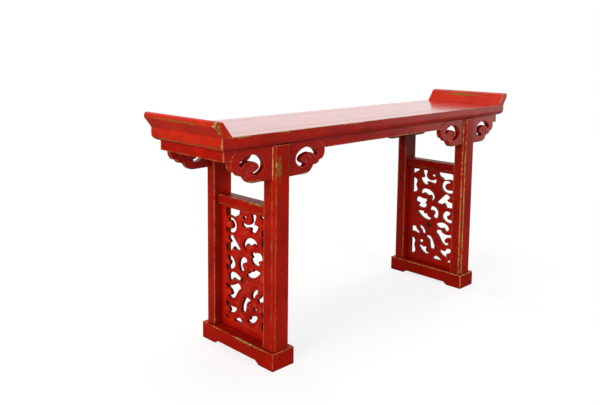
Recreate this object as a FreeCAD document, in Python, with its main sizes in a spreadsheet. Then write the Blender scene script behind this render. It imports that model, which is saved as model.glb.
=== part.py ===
import FreeCAD, Part
import math
import os
import re

import Sketcher

# A long altar table with upturned flanges, standing on two trestles with pierced carved panels.
# The table's length runs along X, its front faces -Y, and it stands on the floor at Z = 0.

# Driving sizes in millimetres: each name is the alias of one cell of the sheet.
SIZES = (
    ("top_long", 1772, "length of the top frame, flanges left out"),
    ("top_deep", 400, "depth of the top frame"),
    ("top_surface", 850, "height of the top surface above the floor"),
    ("top_thick", 48, "thickness of the top frame"),
    ("edge_round", 22, "radius of the rounding along the frame's lower edge"),
    ("long_rail_wide", 66, "width of the front and rear rails"),
    ("end_rail_wide", 42, "width of the end rails"),
    ("rail_tenon_wide", 16, "width of the tenons that join the rails"),
    ("rail_tenon_thick", 12, "thickness of the tenons that join the rails"),
    ("rail_tenon_long", 28, "length of the tenons that join the rails"),
    ("rail_tenon_rise", 8, "height of those tenons above the underside"),
    ("board_thick", 20, "thickness of the two boards"),
    ("tongue_thick", 8, "thickness of the boards' tongues"),
    ("tongue_long", 9, "length of the boards' tongues"),
    ("batten_wide", 40, "width of the battens under the boards"),
    ("batten_tenon_wide", 26, "width of the battens' tenons"),
    ("batten_tenon_thick", 12, "thickness of the battens' tenons"),
    ("batten_tenon_long", 16, "length of the battens' tenons"),
    ("flange_rise", 55, "height of the flanges above the top surface"),
    ("flange_reach", 29, "overhang of the flanges past the end rails"),
    ("flange_tongue_wide", 12, "width of the flanges' tongues"),
    ("flange_tongue_deep", 8, "depth of the flanges' tongues"),
    ("flange_tongue_inset", 17, "distance from the flange's inner edge to its tongue"),
    ("flange_tongue_stop", 40, "distance that the tongue stops short of the flange's ends"),
    ("apron_tall", 36, "height of the aprons"),
    ("apron_reveal", 2, "distance of the aprons behind the spandrels' faces"),
    ("leg_wide", 84, "width of a leg, along the table"),
    ("leg_deep", 52, "depth of a leg, across the table"),
    ("cheek_thick", 11, "thickness of a leg's cheek in front of the spandrels"),
    ("leg_chamfer", 11, "chamfer along the two outer corners of a leg"),
    ("head_tenon_wide", 44, "width of the tenon on a leg's head"),
    ("head_tenon_long", 26, "length of the tenon on a leg's head"),
    ("head_tenon_inset", 3.5, "distance of that tenon from the faces of the leg's back cheek"),
    ("foot_tenon_wide", 48, "width of the tenon on a leg's foot"),
    ("foot_tenon_shoulder", 13, "distance of that tenon from the leg's outer face"),
    ("foot_tenon_wall", 4, "wood between that tenon and the panel's groove"),
    ("foot_tenon_long", 34, "length of the tenon on a leg's foot"),
    ("spandrel_thick", 22, "thickness of the spandrels"),
    ("spandrel_wide", 186, "reach of a spandrel past the leg"),
    ("spandrel_tall", 120, "height of the carved spandrel, up to the top's underside"),
    ("spandrel_clear", 7, "clear distance between an outer spandrel and the end apron"),
    ("spandrel_tongue_thick", 7, "thickness of the spandrels' tongues"),
    ("spandrel_tongue_long", 8, "height of the spandrels' tongues"),
    ("stretcher_wide", 50, "width of the stretchers"),
    ("stretcher_tall", 36, "height of the stretchers"),
    ("stretcher_drop", 103, "distance from the spandrels down to the stretchers"),
    ("stretcher_tenon_wide", 26, "width of the stretchers' tenons"),
    ("stretcher_tenon_tall", 18, "height of the stretchers' tenons"),
    ("stretcher_tenon_long", 30, "length of the stretchers' tenons"),
    ("panel_thick", 14, "thickness of the carved panels"),
    ("panel_housed", 8, "depth of the panel's edges in the frame round it"),
    ("foot_wide", 106, "width of a foot, along the table"),
    ("foot_toe", 9.5, "distance that a foot runs past its legs"),
    ("foot_tall", 64, "height of a foot"),
    ("foot_pad_long", 74, "length of the pads that a foot stands on"),
    ("foot_arch_rise", 12, "height of the arch between the pads"),
    ("foot_ramp_long", 18, "length of the slope from a pad to the arch"),
    ("tip_gap", 1, "space left beyond the tips of tongues and tenons"),
    ("overrun", 5, "distance that a cut runs past the face it opens in"),
)

# The carver's paper patterns are ruled in small squares. For the panel, this is one square as a share of
# the clear width between the legs, one line as a share of the clear height between foot and stretcher, and
# the height of the foot above the floor in the same share.
panel_square_share = 1 / 274
panel_line_share = 1 / 479
panel_foot_share = 64 / 479

# The openings of the carved panel, in squares from the middle and lines from the floor.
panel_opening_shares = (
    ((-113, 528), (-72, 528), (-92, 514), (-113, 503)),
    ((-113, 482), (-95, 480), (-87, 465), (-92, 448), (-86, 430), (-95, 412), (-113, 410)),
    ((-57, 527), (-28, 527), (-33, 510), (-33, 500), (-22, 486), (-2, 482), (22, 493), (22, 477),
     (2, 470), (-22, 475), (-30, 472), (-25, 460), (-47, 460), (-60, 472), (-67, 488), (-46, 489)),
    ((-4, 508), (4, 514), (17, 510), (14, 503), (2, 502)),
    ((36, 528), (113, 528), (113, 498), (92, 500), (65, 493), (57, 503), (43, 510)),
    ((113, 437), (98, 433), (78, 435), (60, 446), (53, 464), (59, 482), (76, 491), (98, 489),
     (97, 480), (84, 480), (74, 471), (72, 459), (80, 450), (93, 447), (113, 450)),
    ((-64, 407), (-58, 427), (-30, 436), (-5, 429), (12, 412), (15, 397), (2, 381), (-3, 384),
     (1, 397), (-6, 411), (-20, 407), (-40, 418)),
    ((28, 378), (52, 403), (73, 424), (92, 422), (100, 412), (85, 400), (88, 393), (113, 388),
     (113, 362), (82, 362), (77, 374), (69, 384), (57, 373)),
    ((-92, 367), (-87, 383), (-66, 389), (-52, 385), (-33, 388), (-27, 375), (-40, 365), (-28, 358),
     (-37, 343), (-55, 339), (-77, 346), (-65, 357), (-76, 361)),
    ((-80, 318), (-45, 324), (-41, 309), (-25, 313), (-15, 298), (-2, 295), (-8, 285), (-34, 286),
     (-62, 300)),
    ((-9, 332), (-5, 351), (15, 354), (35, 338), (38, 320), (30, 297), (8, 304), (19, 320),
     (14, 332), (3, 336)),
    ((61, 313), (67, 331), (84, 345), (105, 341), (100, 330), (87, 323), (88, 310), (98, 303),
     (113, 307), (113, 290), (92, 290), (73, 298)),
    ((28, 270), (50, 281), (72, 283), (92, 274), (100, 257), (92, 245), (77, 249), (72, 262),
     (60, 257), (38, 260)),
    ((28, 230), (33, 243), (57, 246), (68, 233), (92, 228), (113, 233), (113, 217), (85, 210),
     (77, 197), (85, 186), (98, 190), (100, 182), (84, 176), (62, 189), (46, 213)),
    ((-113, 235), (-88, 238), (-80, 224), (-65, 212), (-69, 200), (-92, 210), (-113, 209)),
    ((-67, 250), (-46, 241), (-32, 221), (-34, 208), (-48, 212), (-51, 227), (-63, 233)),
    ((-113, 178), (-97, 176), (-90, 160), (-94, 140), (-88, 120), (-96, 100), (-113, 98)),
    ((-65, 162), (-59, 176), (-42, 176), (-44, 164)),
    ((-65, 145), (-50, 147), (-42, 141), (-20, 146), (-27, 131), (-20, 121), (-7, 118), (-20, 111),
     (-42, 117), (-57, 130)),
    ((-29, 198), (-9, 206), (3, 199), (15, 180), (22, 160), (20, 142), (-3, 145), (1, 158),
     (-7, 166), (-4, 180), (-14, 191)),
    ((51, 147), (73, 146), (84, 145), (86, 159), (113, 164), (113, 145), (92, 137), (88, 126),
     (97, 117), (78, 121), (59, 133)),
    ((15, 95), (30, 113), (48, 108), (65, 95)),
    ((92, 95), (113, 109), (113, 95)),
)

# The spandrel's pattern: squares from the leg's face, and lines from the spandrel's lower edge, with one
# square as a share of the spandrel's reach and one line as a share of its height.
spandrel_square_share = 1 / 186
spandrel_line_share = 1 / 120
spandrel_outline_shares = (
    (147, 120), (168, 106), (181, 91), (186, 78), (184, 62), (177, 51), (167, 45), (160, 44),
    (153, 36), (142, 30), (126, 29), (119, 19), (110, 9), (97, 2), (82, 0),
)
spandrel_piercing_shares = (
    (146, 66), (134, 82), (112, 93), (88, 97), (64, 92), (46, 81), (36, 66), (36, 50), (46, 37),
    (62, 29), (82, 29), (83, 37), (67, 42), (58, 50), (60, 60), (70, 68), (86, 74), (104, 76),
    (122, 71), (138, 60),
)

# The flange's section as shares of its width and of its rise, from the inner foot over the nose.
flange_section_shares = (
    ((0, 0), (0.55, 0.91)),
    ((0.55, 0.91), (0.82, 1)),
    ((0.82, 1), (0.96, 0.93), (1, 0.73), (0.93, 0.55)),
    ((0.93, 0.55), (0.69, 0.16)),
)

# A turn of the outline sharper than this is a corner, and a gentler one is part of a smooth curve.
corner_turn = math.radians(48)

# The spandrel's tongue runs along this share of its reach, and the battens stand this way, one share of
# the trestles' distance from the middle for each.
spandrel_tongue_share = 0.75
batten_shares = (-1.25, -0.75, -0.25, 0.25, 0.75, 1.25)

doc = FreeCAD.newDocument("altar_table")
sheet = doc.addObject("Spreadsheet::Sheet", "Sizes")
for row, (alias, number, note) in enumerate(SIZES, 1):
    sheet.set("A%d" % row, note)
    sheet.set("B%d" % row, str(number))
    sheet.setAlias("B%d" % row, alias)
doc.recompute()
aliases = {alias for alias, number, note in SIZES}
parts = []

# Places and sizes that several pieces share, as formulas of the sheet's names.
UNDERSIDE = "(top_surface - top_thick)"
HALF_LONG = "(top_long / 2)"
HALF_DEEP = "(top_deep / 2)"
INNER_END = f"({HALF_LONG} - end_rail_wide)"
INNER_SIDE = f"({HALF_DEEP} - long_rail_wide)"
MITRE_SIDE = f"({HALF_DEEP} - end_rail_wide)"
RAIL_TENON_MIDDLE = f"(({INNER_SIDE} + {MITRE_SIDE}) / 2)"
BOARD_UNDER = "(top_surface - board_thick)"
BOARD_GROOVE = "(tongue_long + tip_gap)"
TONGUE_RISE = "((board_thick - tongue_thick) / 2)"
GROOVE_RISE = f"(top_thick - board_thick + {TONGUE_RISE})"
BATTEN_TENON_RISE = "((top_thick - board_thick - batten_tenon_thick) / 2)"
SPANDREL_FACE = f"({HALF_DEEP} - edge_round)"
SPANDREL_UNDER = f"({UNDERSIDE} - spandrel_tall)"
SPANDREL_SEAM = "(spandrel_tall - apron_tall)"
APRON_THICK = "(spandrel_thick - apron_reveal)"
APRON_FACE = f"({SPANDREL_FACE} - apron_reveal)"
APRON_END = f"({HALF_LONG} - edge_round - apron_reveal)"
APRON_UNDER = f"({UNDERSIDE} - apron_tall)"
SPANDREL_TONGUE_MIDDLE = f"(apron_reveal + {APRON_THICK} / 2)"
SPANDREL_TONGUE_RUN = f"(leg_wide / 2 + spandrel_wide * {spandrel_tongue_share})"
TRESTLE = f"({APRON_END} - {APRON_THICK} - spandrel_clear - spandrel_wide - leg_wide / 2)"
LEG_OUTER = f"({SPANDREL_FACE} + cheek_thick)"
LEG_INNER = f"({LEG_OUTER} - leg_deep)"
BACK_CHEEK = "(leg_deep - cheek_thick - spandrel_thick)"
HEAD_TENON_MIDDLE = f"({LEG_INNER} + {BACK_CHEEK} / 2)"
HEAD_TENON_THICK = f"({BACK_CHEEK} - 2 * head_tenon_inset)"
PANEL_GROOVE = "(panel_housed + tip_gap)"
FOOT_TENON_THICK = f"(leg_deep - {PANEL_GROOVE} - foot_tenon_wall - foot_tenon_shoulder)"
FOOT_TENON_MIDDLE = f"({LEG_OUTER} - foot_tenon_shoulder - {FOOT_TENON_THICK} / 2)"
STRETCHER_UNDER = f"({SPANDREL_UNDER} - stretcher_drop - stretcher_tall)"
STRETCHER_MORTISE = "(stretcher_tenon_long + tip_gap)"
FOOT_HALF = f"({LEG_OUTER} + foot_toe)"


def size(alias):
    """The value of one of the sheet's sizes."""
    return float(sheet.get(alias))


def bound(formula):
    """The formula with the sheet's name before each of its aliases."""
    return re.sub(r"[a-z]\w+", lambda word: "Sizes." + word.group(0) if word.group(0) in aliases
                  else word.group(0), formula)


def bind(item, **formulas):
    """Binds properties of an object to formulas of the sheet's sizes."""
    for name, formula in formulas.items():
        item.setExpression(name, bound(formula))


def place(item, label, x="0", y="0", z="0", turn=0):
    """Names a finished sub-part and puts it in its place, turned about the vertical."""
    item.Label = label
    item.Placement = FreeCAD.Placement(FreeCAD.Vector(), FreeCAD.Rotation(FreeCAD.Vector(0, 0, 1), turn))
    bind(item, **{"Placement.Base.x": x, "Placement.Base.y": y, "Placement.Base.z": z})
    parts.append(item)
    return item


def block(name, along, deep, tall, x, y, z):
    """A plain block centred on x and y and standing on z."""
    item = doc.addObject("Part::Box", name)
    bind(item, Length=along, Width=deep, Height=tall)
    corner = {"Placement.Base.x": f"{x} - ({along}) / 2", "Placement.Base.y": f"{y} - ({deep}) / 2",
              "Placement.Base.z": z}
    bind(item, **corner)
    return item


def joined(name, pieces):
    """Several solids fused into one."""
    item = doc.addObject("Part::MultiFuse", name)
    item.Shapes = pieces
    return item


def cut(name, base, tools):
    """A solid with the tools taken out of it."""
    item = doc.addObject("Part::Cut", name)
    item.Base = base
    item.Tool = tools[0] if len(tools) == 1 else joined(name + "_tools", tools)
    return item


def padded(name, plane, corners, thick):
    """A body padded from a straight-sided outline whose corners are bound to the sheet."""
    body = doc.addObject("PartDesign::Body", name)
    sketch = body.newObject("Sketcher::SketchObject", name + "_outline")
    origin_plane = next(item for item in body.Origin.OriginFeatures if item.Role == plane)
    sketch.AttachmentSupport = (origin_plane, [""])
    sketch.MapMode = "FlatFace"
    count = len(corners)
    starts = [FreeCAD.Vector(math.cos(math.tau * i / count), math.sin(math.tau * i / count), 0)
              for i in range(count)]
    for i in range(count):
        sketch.addGeometry(Part.LineSegment(starts[i], starts[(i + 1) % count]), False)
    for i in range(count):
        sketch.addConstraint(Sketcher.Constraint("Coincident", i, 2, (i + 1) % count, 1))
    for i, (across, up) in enumerate(corners):
        for kind, formula, start in (("DistanceX", across, starts[i].x), ("DistanceY", up, starts[i].y)):
            index = sketch.addConstraint(Sketcher.Constraint(kind, i, 1, start))
            bind(sketch, **{"Constraints[%d]" % index: formula})
    pad = body.newObject("PartDesign::Pad", name + "_pad")
    pad.Profile = sketch
    bind(pad, Length=thick)
    doc.recompute()
    return body


def round_lower_edge(body, radius):
    """Rounds the lower edge that lies furthest to the front of a padded body."""
    pad = body.Tip
    edges = pad.Shape.Edges
    low = min(edge.CenterOfMass.z for edge in edges)
    lower = [i for i, edge in enumerate(edges) if edge.CenterOfMass.z - low < edge.Length * 1e-6]
    front = min(lower, key=lambda i: edges[i].CenterOfMass.y)
    fillet = body.newObject("PartDesign::Fillet", body.Name + "_rounding")
    fillet.Base = (pad, ["Edge%d" % (front + 1)])
    bind(fillet, Radius=radius)
    doc.recompute()
    return body


def curve(points):
    """An edge through points: a line through two, a smooth spline through more."""
    if len(points) == 2:
        return Part.LineSegment(*points).toShape()
    spline = Part.BSplineCurve()
    spline.interpolate(points)
    return spline.toShape()


def turn_at(before, point, after):
    """The angle by which an outline turns at one of its points."""
    return (point - before).getAngle(after - point)


def closed_outline(points):
    """A closed wire through points, cornered where it turns sharply and smooth elsewhere."""
    count = len(points)
    corners = [i for i in range(count)
               if turn_at(points[i - 1], points[i], points[(i + 1) % count]) > corner_turn]
    edges = []
    for start, stop in zip(corners, corners[1:] + [corners[0] + count]):
        edges.append(curve([points[i % count] for i in range(start, stop + 1)]))
    return Part.Wire(edges)


def edge_runs(points):
    """The runs between an open outline's corners, each a smooth curve or a line."""
    last = len(points) - 1
    corners = [i for i in range(1, last) if turn_at(points[i - 1], points[i], points[i + 1]) > corner_turn]
    return [points[start:stop + 1] for start, stop in zip([0] + corners, corners + [last])]


def shaped(name, shape):
    """A feature that holds a shape built from the sheet's sizes."""
    item = doc.addObject("Part::Feature", name)
    item.Shape = shape
    return item


def long_rail(label, turn):
    """The front or rear rail: mitred, grooved for the boards, mortised for legs and battens."""
    plan = (
        (f"-{HALF_LONG}", f"-{HALF_DEEP}"), (HALF_LONG, f"-{HALF_DEEP}"),
        (INNER_END, f"-{MITRE_SIDE}"), (INNER_END, f"-{INNER_SIDE}"),
        (f"-{INNER_END}", f"-{INNER_SIDE}"), (f"-{INNER_END}", f"-{MITRE_SIDE}"),
    )
    plank = round_lower_edge(padded(label + "_plank", "XY_Plane", plan, "top_thick"), "edge_round")
    tools = [block(label + "_groove", f"2 * {INNER_END}", BOARD_GROOVE, "tongue_thick", "0",
                   f"-{INNER_SIDE} - {BOARD_GROOVE} / 2", GROOVE_RISE)]
    for side in (-1, 1):
        tools.append(block(label + "_leg_mortise", "head_tenon_wide", HEAD_TENON_THICK,
                           "head_tenon_long + tip_gap", f"{side} * {TRESTLE}", f"-{HEAD_TENON_MIDDLE}", "0"))
    mortise_deep = "(batten_tenon_long + tip_gap)"
    for share in batten_shares:
        tools.append(block(label + "_batten_mortise", "batten_tenon_wide", mortise_deep, "batten_tenon_thick",
                           f"{share} * {TRESTLE}", f"-{INNER_SIDE} - {mortise_deep} / 2", BATTEN_TENON_RISE))
    pieces = [cut(label + "_mortised", plank, tools)]
    for side in (-1, 1):
        pieces.append(block(label + "_tenon", "rail_tenon_long", "rail_tenon_wide", "rail_tenon_thick",
                            f"{side} * ({INNER_END} + rail_tenon_long / 2)", f"-{RAIL_TENON_MIDDLE}",
                            "rail_tenon_rise"))
    place(joined(label + "_whole", pieces), label, z=UNDERSIDE, turn=turn)


def end_rail(label, turn):
    """An end rail: mitred, grooved for the boards and the flange, mortised for the long rails' tenons."""
    plan = (
        (f"-{HALF_DEEP}", f"-{HALF_LONG}"), (HALF_DEEP, f"-{HALF_LONG}"),
        (MITRE_SIDE, f"-{INNER_END}"), (f"-{MITRE_SIDE}", f"-{INNER_END}"),
    )
    plank = round_lower_edge(padded(label + "_plank", "XY_Plane", plan, "top_thick"), "edge_round")
    tools = [
        block(label + "_groove", f"2 * ({INNER_SIDE} + {BOARD_GROOVE})", BOARD_GROOVE, "tongue_thick", "0",
              f"-{INNER_END} - {BOARD_GROOVE} / 2", GROOVE_RISE),
        block(label + "_flange_groove", "top_deep - 2 * flange_tongue_stop", "flange_tongue_wide",
              "flange_tongue_deep", "0", f"-{INNER_END} - flange_tongue_inset - flange_tongue_wide / 2",
              "top_thick - flange_tongue_deep"),
    ]
    mortise_deep = "(rail_tenon_long + tip_gap)"
    for side in (-1, 1):
        tools.append(block(label + "_mortise", "rail_tenon_wide", mortise_deep, "rail_tenon_thick",
                           f"{side} * {RAIL_TENON_MIDDLE}", f"-{INNER_END} - {mortise_deep} / 2",
                           "rail_tenon_rise"))
    place(cut(label + "_whole", plank, tools), label, z=UNDERSIDE, turn=turn)


def board(label, side):
    """One of the two boards, tongued into the frame, with a tongue or a groove along the middle seam."""
    long = f"(2 * {INNER_END})"
    plank = block(label + "_plank", long, INNER_SIDE, "board_thick", "0", f"{side} * {INNER_SIDE} / 2", "0")
    tongue = block(label + "_tongue", f"{long} + 2 * tongue_long", f"({INNER_SIDE} + tongue_long)",
                   "tongue_thick", "0", f"{side} * ({INNER_SIDE} + tongue_long) / 2", TONGUE_RISE)
    if side < 0:
        seam = block(label + "_seam_tongue", long, "tongue_long", "tongue_thick", "0", "tongue_long / 2",
                     TONGUE_RISE)
        whole = joined(label + "_whole", [plank, tongue, seam])
    else:
        seam = block(label + "_seam_groove", f"{long} + 2 * {BOARD_GROOVE}", BOARD_GROOVE, "tongue_thick",
                     "0", f"{BOARD_GROOVE} / 2", TONGUE_RISE)
        whole = cut(label + "_whole", joined(label + "_body", [plank, tongue]), [seam])
    place(whole, label, z=BOARD_UNDER)


def batten(label, share):
    """A batten under the boards, tenoned into the two long rails."""
    bar = block(label + "_bar", "batten_wide", f"2 * {INNER_SIDE}", "top_thick - board_thick", "0", "0", "0")
    tenon = block(label + "_tenon", "batten_tenon_wide", f"2 * ({INNER_SIDE} + batten_tenon_long)",
                  "batten_tenon_thick", "0", "0", BATTEN_TENON_RISE)
    place(joined(label + "_whole", [bar, tenon]), label, x=f"{share} * {TRESTLE}", z=UNDERSIDE)


def flange(label, turn):
    """An upturned flange on an end rail, held by a long tongue, in its own frame: nose towards +X."""
    wide = size("end_rail_wide") + size("flange_reach")
    half_deep = size("top_deep") / 2
    runs = [[FreeCAD.Vector(across * wide, -half_deep, up * size("flange_rise")) for across, up in run]
            for run in flange_section_shares]
    seat = FreeCAD.Vector(size("end_rail_wide"), -half_deep, 0)
    runs += [[runs[-1][-1], seat], [seat, runs[0][0]]]
    section = Part.Face(Part.Wire([curve(run) for run in runs]))
    horn = shaped(label + "_horn", section.extrude(FreeCAD.Vector(0, 2 * half_deep, 0)))
    tongue = block(label + "_tongue", "flange_tongue_wide", "top_deep - 2 * flange_tongue_stop - tip_gap",
                   "flange_tongue_deep", "flange_tongue_inset + flange_tongue_wide / 2", "0",
                   "-flange_tongue_deep")
    side = -1 if turn else 1
    place(joined(label + "_whole", [horn, tongue]), label, x=f"{side} * {INNER_END}", z="top_surface",
          turn=turn)


def pattern_points(shares, side):
    """Points of the spandrel's pattern: across from the leg's middle, up from the spandrel's lower edge."""
    across = size("spandrel_wide") * spandrel_square_share
    up = size("spandrel_tall") * spandrel_line_share
    return [FreeCAD.Vector(side * (size("leg_wide") / 2 + x * across), 0, z * up) for x, z in shares]


def piercing(name, side):
    """The opening round the spandrel's curl, as a solid that passes through the spandrel's face."""
    reach = 2 * size("spandrel_thick")
    face = Part.Face(closed_outline(pattern_points(spandrel_piercing_shares, side)))
    face.translate(FreeCAD.Vector(0, -reach, 0))
    return shaped(name, face.extrude(FreeCAD.Vector(0, 2 * reach, 0)))


def silhouette(name, side, thick):
    """The whole outline of a spandrel, from the leg's middle outwards, as a plate behind its face."""
    outline = pattern_points(spandrel_outline_shares, side)
    top = FreeCAD.Vector(0, 0, outline[0].z)
    foot = FreeCAD.Vector(0, 0, outline[-1].z)
    runs = edge_runs(outline) + [[outline[-1], foot], [foot, top], [top, outline[0]]]
    face = Part.Face(Part.Wire([curve(run) for run in runs]))
    return shaped(name, face.extrude(FreeCAD.Vector(0, thick, 0)))


def spandrel(label, trestle, turn, side):
    """A pierced spandrel under the apron: in its own frame its face is at Y = 0 and the leg at X = 0."""
    plate = silhouette(label + "_plate", side, size("spandrel_thick"))
    above = block(label + "_above", "2 * (leg_wide + spandrel_wide)", "4 * spandrel_thick", "spandrel_tall",
                  "0", "0", SPANDREL_SEAM)
    tongue = block(label + "_tongue", SPANDREL_TONGUE_RUN, "spandrel_tongue_thick", "spandrel_tongue_long",
                   f"{side} * {SPANDREL_TONGUE_RUN} / 2", SPANDREL_TONGUE_MIDDLE, SPANDREL_SEAM)
    solid = joined(label + "_solid", [cut(label + "_below", plate, [above]), tongue])
    whole = cut(label + "_whole", solid, [piercing(label + "_piercing", side)])
    front = 1 if turn else -1
    place(whole, label, x=f"{trestle} * {TRESTLE}", y=f"{front} * {SPANDREL_FACE}", z=SPANDREL_UNDER,
          turn=turn)


def mitred_board(label, run, reach):
    """An apron's board, mitred at both ends."""
    plan = (
        (f"-{run}", f"-{reach}"), (run, f"-{reach}"),
        (f"({run} - {APRON_THICK})", f"-({reach} - {APRON_THICK})"),
        (f"-({run} - {APRON_THICK})", f"-({reach} - {APRON_THICK})"),
    )
    return padded(label + "_board", "XY_Plane", plan, "apron_tall")


def long_apron(label, turn):
    """The front or rear apron, with the spandrels' shoulders raised on its face."""
    pieces = [mitred_board(label, APRON_END, APRON_FACE)]
    tools = []
    for trestle in (-1, 1):
        for side in (-1, 1):
            shoulder = silhouette(label + "_shoulder", side, size("apron_reveal"))
            below = block(label + "_below", "2 * (leg_wide + spandrel_wide)", "4 * spandrel_thick",
                          "spandrel_tall", "0", "0", f"{SPANDREL_SEAM} - spandrel_tall")
            raised = cut(label + "_raised", shoulder, [below])
            opening = piercing(label + "_opening", side)
            for item in (raised, opening):
                bind(item, **{"Placement.Base.x": f"{trestle} * {TRESTLE}",
                              "Placement.Base.y": f"-{SPANDREL_FACE}",
                              "Placement.Base.z": f"-{SPANDREL_SEAM}"})
            pieces.append(raised)
            tools.append(opening)
        tools.append(block(label + "_groove", f"2 * {SPANDREL_TONGUE_RUN}", "spandrel_tongue_thick",
                           "spandrel_tongue_long + tip_gap", f"{trestle} * {TRESTLE}",
                           f"-{SPANDREL_FACE} + {SPANDREL_TONGUE_MIDDLE}", "0"))
    place(cut(label + "_whole", joined(label + "_solid", pieces), tools), label, z=APRON_UNDER, turn=turn)


def end_apron(label, turn):
    """An end apron, a plain mitred board."""
    place(mitred_board(label, APRON_FACE, APRON_END), label, z=APRON_UNDER, turn=turn)


def leg(label, trestle, turn):
    """A leg: chamfered outside, slotted at its head, tenoned at both ends, grooved for the panel."""
    half = "(leg_wide / 2)"
    flat = f"({half} - leg_chamfer)"
    back = f"({LEG_OUTER} - leg_chamfer)"
    plan = (
        (f"-{flat}", f"-{LEG_OUTER}"), (flat, f"-{LEG_OUTER}"), (half, f"-{back}"),
        (half, f"-{LEG_INNER}"), (f"-{half}", f"-{LEG_INNER}"), (f"-{half}", f"-{back}"),
    )
    post = padded(label + "_post", "XY_Plane", plan, f"{UNDERSIDE} - foot_tall")
    tools = [
        block(label + "_slot", "leg_wide + 2 * overrun", "spandrel_thick", "spandrel_tall + overrun", "0",
              f"-{SPANDREL_FACE} + spandrel_thick / 2", f"{SPANDREL_UNDER} - foot_tall"),
        block(label + "_mortise", "stretcher_tenon_wide", STRETCHER_MORTISE, "stretcher_tenon_tall", "0",
              f"-{LEG_INNER} - {STRETCHER_MORTISE} / 2", f"{STRETCHER_UNDER} + {PANEL_GROOVE} - foot_tall"),
        block(label + "_groove", "panel_thick", PANEL_GROOVE, f"{STRETCHER_UNDER} + {PANEL_GROOVE} - foot_tall",
              "0", f"-{LEG_INNER} - {PANEL_GROOVE} / 2", "0"),
    ]
    tenons = [
        block(label + "_head_tenon", "head_tenon_wide", HEAD_TENON_THICK, "head_tenon_long", "0",
              f"-{HEAD_TENON_MIDDLE}", f"{UNDERSIDE} - foot_tall"),
        block(label + "_foot_tenon", "foot_tenon_wide", FOOT_TENON_THICK, "foot_tenon_long", "0",
              f"-{FOOT_TENON_MIDDLE}", "-foot_tenon_long"),
    ]
    place(joined(label + "_whole", [cut(label + "_cut", post, tools)] + tenons), label,
          x=f"{trestle} * {TRESTLE}", z="foot_tall", turn=turn)


def stretcher(label, trestle):
    """A stretcher between two legs, tenoned into them and grooved for the panel below it."""
    bar = block(label + "_bar", "stretcher_wide", f"2 * {LEG_INNER}", "stretcher_tall", "0", "0", "0")
    tenon = block(label + "_tenon", "stretcher_tenon_wide", f"2 * ({LEG_INNER} + stretcher_tenon_long)",
                  "stretcher_tenon_tall", "0", "0", PANEL_GROOVE)
    groove = block(label + "_groove", "panel_thick", f"2 * {LEG_INNER}", PANEL_GROOVE, "0", "0", "0")
    place(cut(label + "_whole", joined(label + "_solid", [bar, tenon]), [groove]), label,
          x=f"{trestle} * {TRESTLE}", z=STRETCHER_UNDER)


def pierced_panel(label, trestle, turn):
    """A carved panel between two legs, pierced by the tendrils' openings and housed all round."""
    inner = size("top_deep") / 2 - size("edge_round") + size("cheek_thick") - size("leg_deep")
    under = (size("top_surface") - size("top_thick") - size("spandrel_tall") - size("stretcher_drop")
             - size("stretcher_tall"))
    clear = under - size("foot_tall")
    thick = size("panel_thick")
    housed = size("panel_housed")
    solid = Part.makeBox(thick, 2 * (inner + housed), clear + 2 * housed,
                         FreeCAD.Vector(-thick / 2, -inner - housed, -housed))
    across = 2 * inner * panel_square_share
    holes = [closed_outline([FreeCAD.Vector(-thick / 2, y * across,
                                            clear * (z * panel_line_share - panel_foot_share))
                             for y, z in shares]) for shares in panel_opening_shares]
    tools = [Part.Face(hole).extrude(FreeCAD.Vector(thick, 0, 0)) for hole in holes]
    place(shaped(label + "_whole", solid.cut(tools)), label, x=f"{trestle} * {TRESTLE}", z="foot_tall",
          turn=turn)


def foot(label, trestle):
    """A foot: a heavy bar that stands on two pads, mortised for the legs and grooved for the panel."""
    pad = f"({FOOT_HALF} - foot_pad_long)"
    arch = f"({pad} - foot_ramp_long)"
    profile = (
        (f"-{FOOT_HALF}", "0"), (f"-{pad}", "0"), (f"-{arch}", "foot_arch_rise"), (arch, "foot_arch_rise"),
        (pad, "0"), (FOOT_HALF, "0"), (FOOT_HALF, "foot_tall"), (f"-{FOOT_HALF}", "foot_tall"),
    )
    bar = padded(label + "_bar", "YZ_Plane", profile, "foot_wide")
    tools = [block(label + "_groove", "panel_thick", f"2 * ({LEG_INNER} + {PANEL_GROOVE})", PANEL_GROOVE,
                   "foot_wide / 2", "0", f"foot_tall - {PANEL_GROOVE}")]
    for side in (-1, 1):
        tools.append(block(label + "_mortise", "foot_tenon_wide", FOOT_TENON_THICK, "foot_tenon_long + tip_gap",
                           "foot_wide / 2", f"{side} * {FOOT_TENON_MIDDLE}",
                           "foot_tall - foot_tenon_long - tip_gap"))
    place(cut(label + "_whole", bar, tools), label, x=f"{trestle} * {TRESTLE} - foot_wide / 2")


long_rail("top_front_rail", 0)
long_rail("top_rear_rail", 180)
end_rail("top_right_rail", 90)
end_rail("top_left_rail", -90)
board("board_front", -1)
board("board_rear", 1)
for number, share in enumerate(batten_shares, 1):
    batten("batten_%d" % number, share)
flange("flange_right", 0)
flange("flange_left", 180)
long_apron("apron_front", 0)
long_apron("apron_rear", 180)
end_apron("apron_right", 90)
end_apron("apron_left", -90)
for name, trestle in (("left", -1), ("right", 1)):
    for row, turn in (("front", 0), ("rear", 180)):
        facing = -1 if turn else 1
        leg("leg_%s_%s" % (name, row), trestle, turn)
        spandrel("spandrel_%s_%s_outer" % (name, row), trestle, turn, trestle * facing)
        spandrel("spandrel_%s_%s_inner" % (name, row), trestle, turn, -trestle * facing)
    stretcher("stretcher_" + name, trestle)
    pierced_panel("panel_" + name, trestle, 0 if trestle < 0 else 180)
    foot("foot_" + name, trestle)
doc.recompute()

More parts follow.
